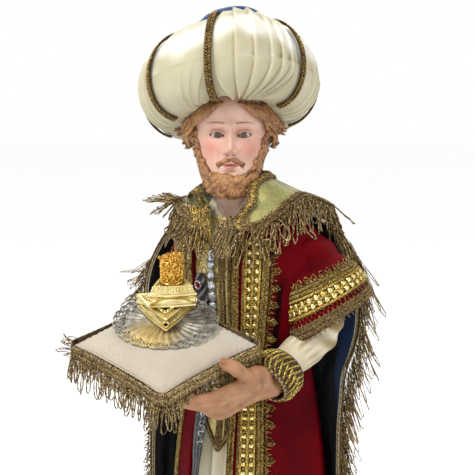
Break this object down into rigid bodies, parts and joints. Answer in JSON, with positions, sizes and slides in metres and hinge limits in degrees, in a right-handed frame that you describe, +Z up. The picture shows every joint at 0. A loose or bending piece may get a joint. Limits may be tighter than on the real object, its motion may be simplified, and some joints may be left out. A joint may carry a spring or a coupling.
{
  "type": "presepe figure",
  "caption": "Standing presepe king in a cream satin turban, crimson coat, blue-lined cloak and fringed collar, holding out a cushion with a small gilt casket.",
  "frame": {"origin": "centre of the underside of the figure's base", "axes": "+Z up, -Y to the figure's front, +X to the figure's own left"},
  "size_m": [0.1235, 0.1544, 0.3936],
  "materials": {
    "base": "dark stained wood, satin",
    "left_shoe": "dark brown leather",
    "right_shoe": "dark brown leather",
    "tunic": "cream satin",
    "waistcoat": "gold-yellow brocade",
    "sash": "grey satin",
    "stone_row": "clear claw-set stones on a bright metal backing",
    "coat": "crimson satin, lined",
    "left_front_galloon": "gold-brown metal braid with sequins",
    "right_front_galloon": "gold-brown metal braid with sequins",
    "left_sleeve_galloon": "gold-brown metal braid with sequins",
    "right_sleeve_galloon": "gold-brown metal braid with sequins",
    "left_sleeve_braid": "gold-brown looped braid",
    "right_sleeve_braid": "gold-brown looped braid",
    "left_cuff": "yellow-gold plaited braid",
    "right_cuff": "yellow-gold plaited braid",
    "left_hand": "painted terracotta, satin",
    "right_hand": "painted terracotta, satin",
    "cushion": "ivory fine-ribbed cloth",
    "cushion_fringe": "gold-brown woven braid with a looped fringe",
    "rosette": "silver-grey stamped metal with gilt patina",
    "casket_lower": "polished gilt",
    "casket_upper": "polished gilt",
    "casket_tower": "gilt filigree",
    "head": "painted terracotta, satin",
    "turban": "cream lustrous satin",
    "turban_cap": "blue satin",
    "cloak": "cream satin outside, blue satin lining",
    "cloak_fringe_left": "gold-brown looped fringe",
    "cloak_fringe_right": "gold-brown looped fringe",
    "collar": "pistachio and gilt cloth",
    "collar_fringe": "gold-brown looped fringe",
    "turban_braid_1": "gold-brown beaded braid",
    "turban_braid_2": "gold-brown beaded braid",
    "turban_braid_3": "gold-brown beaded braid",
    "turban_braid_4": "gold-brown beaded braid",
    "turban_braid_5": "gold-brown beaded braid",
    "turban_braid_6": "gold-brown beaded braid"
  },
  "bodies": {
    "root": {"base": "base", "left_shoe": "left_shoe", "right_shoe": "right_shoe", "tunic": "tunic", "waistcoat": "waistcoat", "sash": "sash", "stone_row": "stone_row", "coat": "coat", "left_front_galloon": "left_front_galloon", "right_front_galloon": "right_front_galloon", "left_sleeve_galloon": "left_sleeve_galloon", "right_sleeve_galloon": "right_sleeve_galloon", "left_sleeve_braid": "left_sleeve_braid", "right_sleeve_braid": "right_sleeve_braid", "left_cuff": "left_cuff", "right_cuff": "right_cuff", "left_hand": "left_hand", "right_hand": "right_hand", "cushion": "cushion", "cushion_fringe": "cushion_fringe", "rosette": "rosette", "casket_lower": "casket_lower", "casket_upper": "casket_upper", "casket_tower": "casket_tower", "head": "head", "turban": "turban", "turban_cap": "turban_cap", "cloak": "cloak", "cloak_fringe_left": "cloak_fringe_left", "cloak_fringe_right": "cloak_fringe_right", "collar": "collar", "collar_fringe": "collar_fringe", "turban_braid_1": "turban_braid_1", "turban_braid_2": "turban_braid_2", "turban_braid_3": "turban_braid_3", "turban_braid_4": "turban_braid_4", "turban_braid_5": "turban_braid_5", "turban_braid_6": "turban_braid_6"}
  },
  "joints": []
}
